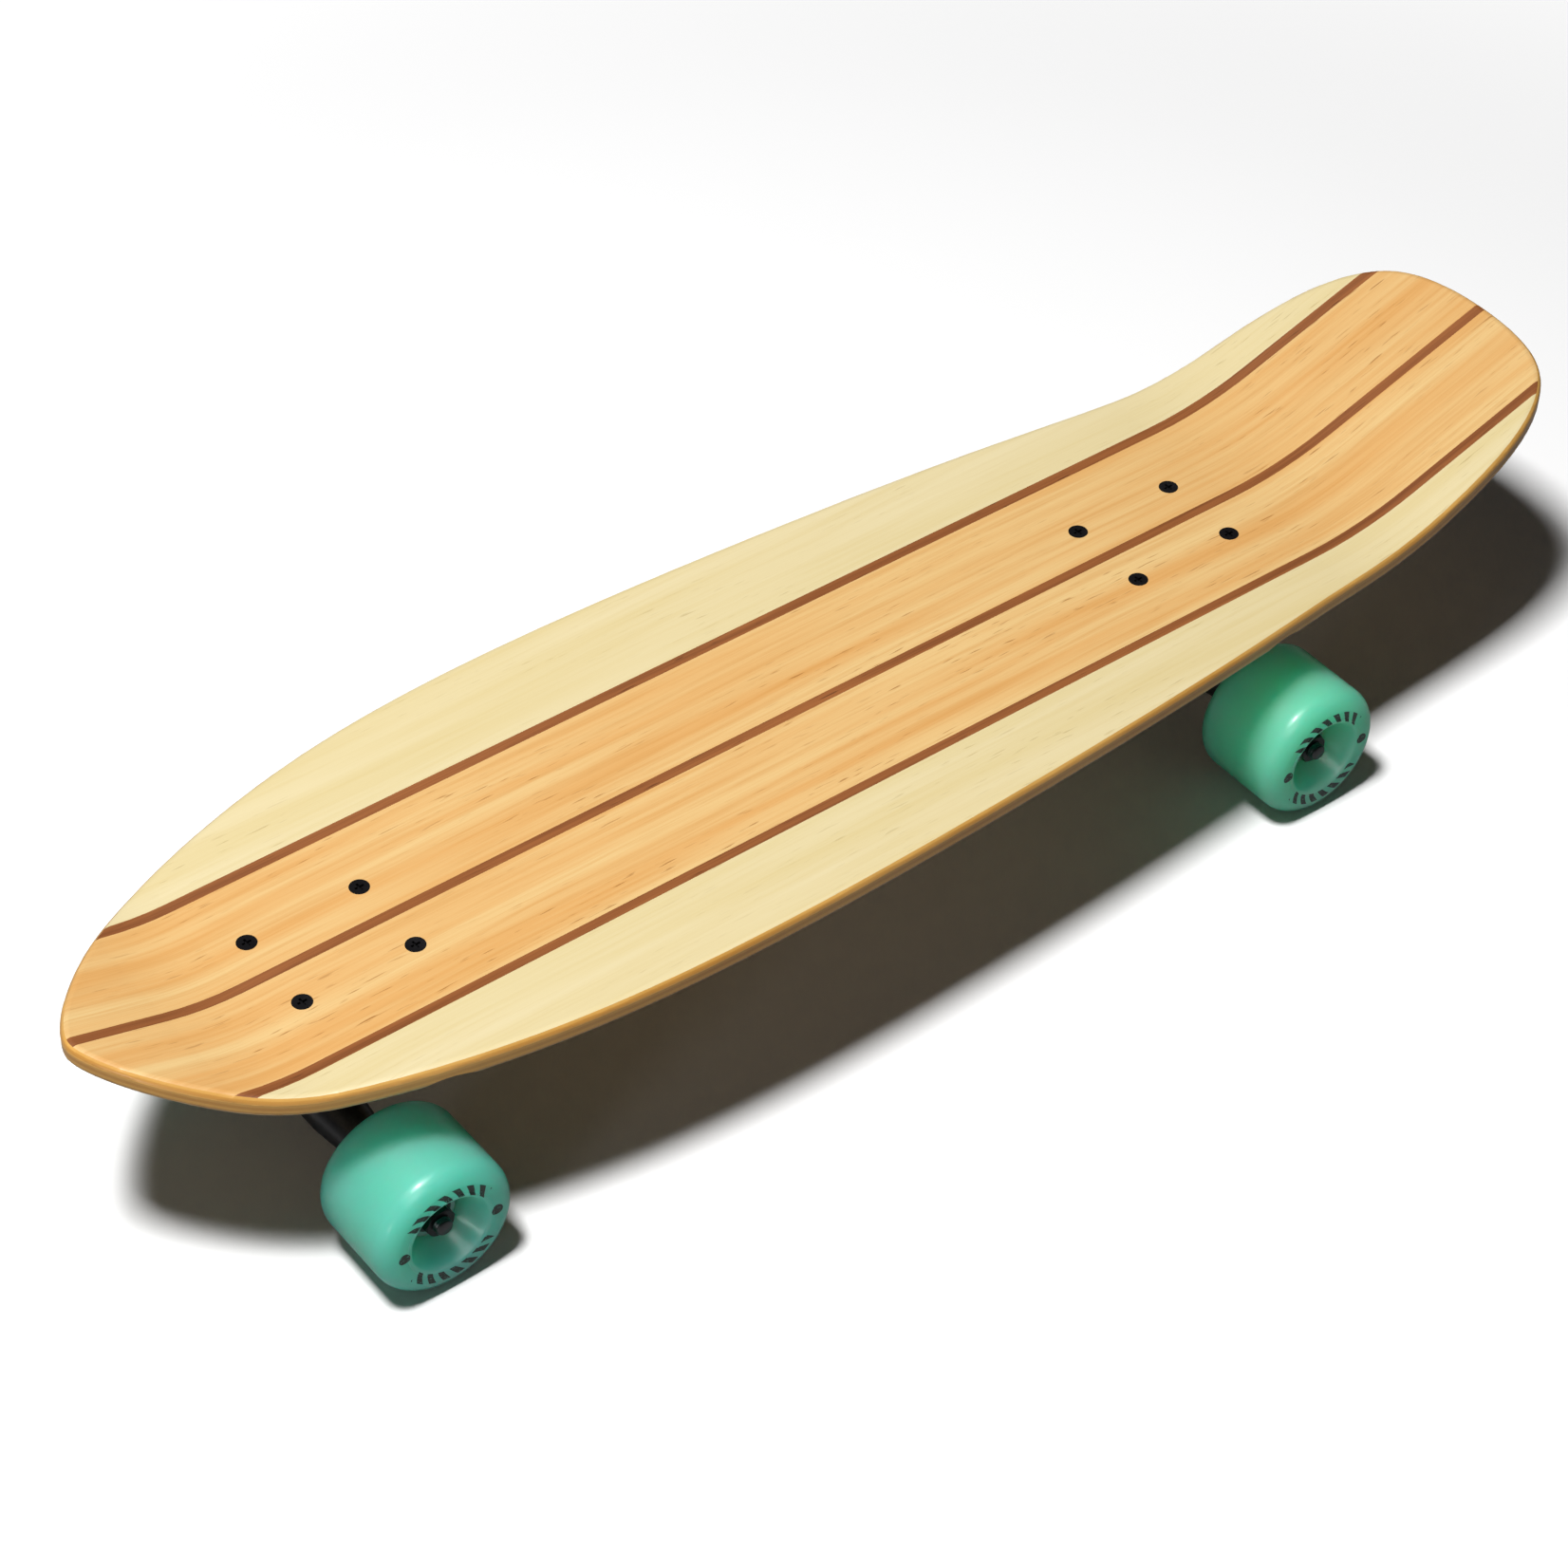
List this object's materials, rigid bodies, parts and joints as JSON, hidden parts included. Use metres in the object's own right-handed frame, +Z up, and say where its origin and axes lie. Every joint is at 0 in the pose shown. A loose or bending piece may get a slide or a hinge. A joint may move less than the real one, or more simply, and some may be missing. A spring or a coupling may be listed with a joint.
{
  "type": "skateboard",
  "caption": "Kicktail cruiser skateboard with a laminated wood deck, striped inlays, black steering trucks and wide translucent wheels on ball bearings.",
  "frame": {"origin": "on the ground, midway along and across the skateboard", "axes": "+X toward the nose, +Y toward the rider's left when facing the nose, +Z up"},
  "size_m": [0.76, 0.212, 0.14],
  "materials": {
    "maple_core": "clear satin varnish",
    "maple_underside": "clear satin varnish",
    "maple_pale": "clear gloss varnish",
    "maple_amber": "stained, clear gloss varnish",
    "walnut_stripe": "inlaid, clear gloss varnish",
    "riser_rubber": "matte",
    "black_hardware": "black oxide, satin",
    "black_truck": "cast, satin black paint",
    "cup_urethane": "matte urethane",
    "bushing_urethane": "satin urethane",
    "axle_steel": "turned and zinc plated",
    "bearing_steel": "ground and polished",
    "bearing_shield": "pressed, black",
    "ball_steel": "polished",
    "cage_steel": "pressed",
    "front_urethane": "translucent cast urethane",
    "rear_urethane": "translucent cast urethane"
  },
  "bodies": {
    "deck": {"deck_core": "maple_core", "bottom_veneer": "maple_underside", "rail_panels": "maple_pale", "centre_panels": "maple_amber", "inlay_stripes": "walnut_stripe", "front_riser_pad": "riser_rubber", "front_deck_bolts": "black_hardware", "front_deck_nuts": "black_hardware", "front_baseplate": "black_truck", "front_pivot_cup": "cup_urethane", "front_kingpin": "black_hardware", "front_kingpin_nut": "black_hardware", "front_boardside_washer": "black_hardware", "front_roadside_washer": "black_hardware", "front_boardside_bushing": "bushing_urethane", "front_roadside_bushing": "bushing_urethane", "rear_riser_pad": "riser_rubber", "rear_deck_bolts": "black_hardware", "rear_deck_nuts": "black_hardware", "rear_baseplate": "black_truck", "rear_pivot_cup": "cup_urethane", "rear_kingpin": "black_hardware", "rear_kingpin_nut": "black_hardware", "rear_boardside_washer": "black_hardware", "rear_roadside_washer": "black_hardware", "rear_boardside_bushing": "bushing_urethane", "rear_roadside_bushing": "bushing_urethane"},
    "front_truck_hanger": {"front_hanger": "black_truck", "front_axle": "axle_steel", "front_axle_nuts": "black_hardware", "front_speed_rings": "axle_steel", "front_spacers": "axle_steel", "front_inner_races": "bearing_steel"},
    "front_left_spinner": {"front_left_wheel": "front_urethane", "front_left_outer_races": "bearing_steel", "front_left_shields": "bearing_shield"},
    "front_left_ball_sets": {"front_left_balls": "ball_steel", "front_left_cages": "cage_steel"},
    "front_right_spinner": {"front_right_wheel": "front_urethane", "front_right_outer_races": "bearing_steel", "front_right_shields": "bearing_shield"},
    "front_right_ball_sets": {"front_right_balls": "ball_steel", "front_right_cages": "cage_steel"},
    "rear_truck_hanger": {"rear_hanger": "black_truck", "rear_axle": "axle_steel", "rear_axle_nuts": "black_hardware", "rear_speed_rings": "axle_steel", "rear_spacers": "axle_steel", "rear_inner_races": "bearing_steel"},
    "rear_left_spinner": {"rear_left_wheel": "rear_urethane", "rear_left_outer_races": "bearing_steel", "rear_left_shields": "bearing_shield"},
    "rear_left_ball_sets": {"rear_left_balls": "ball_steel", "rear_left_cages": "cage_steel"},
    "rear_right_spinner": {"rear_right_wheel": "rear_urethane", "rear_right_outer_races": "bearing_steel", "rear_right_shields": "bearing_shield"},
    "rear_right_ball_sets": {"rear_right_balls": "ball_steel", "rear_right_cages": "cage_steel"}
  },
  "joints": [
    {"name": "front_steer", "type": "hinge", "parent": "deck", "child": "front_truck_hanger", "pos_m": [0.29, 0, 0.0753], "axis": [0.8662, 0, 0.4997], "range_deg": [-12, 12], "stiffness_Nm_per_rad": 60, "deforming": ["front_boardside_bushing", "front_roadside_bushing"]},
    {"name": "front_left_spin", "type": "hinge", "parent": "front_truck_hanger", "child": "front_left_spinner", "pos_m": [0.2755, 0.0802, 0.0325], "axis": [0, 1, 0], "continuous": true},
    {"name": "front_left_balls_orbit", "type": "hinge", "parent": "front_truck_hanger", "child": "front_left_ball_sets", "pos_m": [0.2755, 0.0802, 0.0325], "axis": [0, 1, 0], "continuous": true},
    {"name": "front_right_spin", "type": "hinge", "parent": "front_truck_hanger", "child": "front_right_spinner", "pos_m": [0.2755, -0.0802, 0.0325], "axis": [0, 1, 0], "continuous": true},
    {"name": "front_right_balls_orbit", "type": "hinge", "parent": "front_truck_hanger", "child": "front_right_ball_sets", "pos_m": [0.2755, -0.0802, 0.0325], "axis": [0, 1, 0], "continuous": true},
    {"name": "rear_steer", "type": "hinge", "parent": "deck", "child": "rear_truck_hanger", "pos_m": [-0.211, 0, 0.0753], "axis": [-0.8662, 0, 0.4997], "range_deg": [-12, 12], "stiffness_Nm_per_rad": 60, "deforming": ["rear_boardside_bushing", "rear_roadside_bushing"]},
    {"name": "rear_left_spin", "type": "hinge", "parent": "rear_truck_hanger", "child": "rear_left_spinner", "pos_m": [-0.1965, 0.0802, 0.0325], "axis": [0, 1, 0], "continuous": true},
    {"name": "rear_left_balls_orbit", "type": "hinge", "parent": "rear_truck_hanger", "child": "rear_left_ball_sets", "pos_m": [-0.1965, 0.0802, 0.0325], "axis": [0, 1, 0], "continuous": true},
    {"name": "rear_right_spin", "type": "hinge", "parent": "rear_truck_hanger", "child": "rear_right_spinner", "pos_m": [-0.1965, -0.0802, 0.0325], "axis": [0, 1, 0], "continuous": true},
    {"name": "rear_right_balls_orbit", "type": "hinge", "parent": "rear_truck_hanger", "child": "rear_right_ball_sets", "pos_m": [-0.1965, -0.0802, 0.0325], "axis": [0, 1, 0], "continuous": true}
  ],
  "couplings": [
    {"joint": "front_left_balls_orbit", "follows": "front_left_spin", "ratio": 0.6323},
    {"joint": "front_right_balls_orbit", "follows": "front_right_spin", "ratio": 0.6323},
    {"joint": "rear_left_balls_orbit", "follows": "rear_left_spin", "ratio": 0.6323},
    {"joint": "rear_right_balls_orbit", "follows": "rear_right_spin", "ratio": 0.6323}
  ]
}
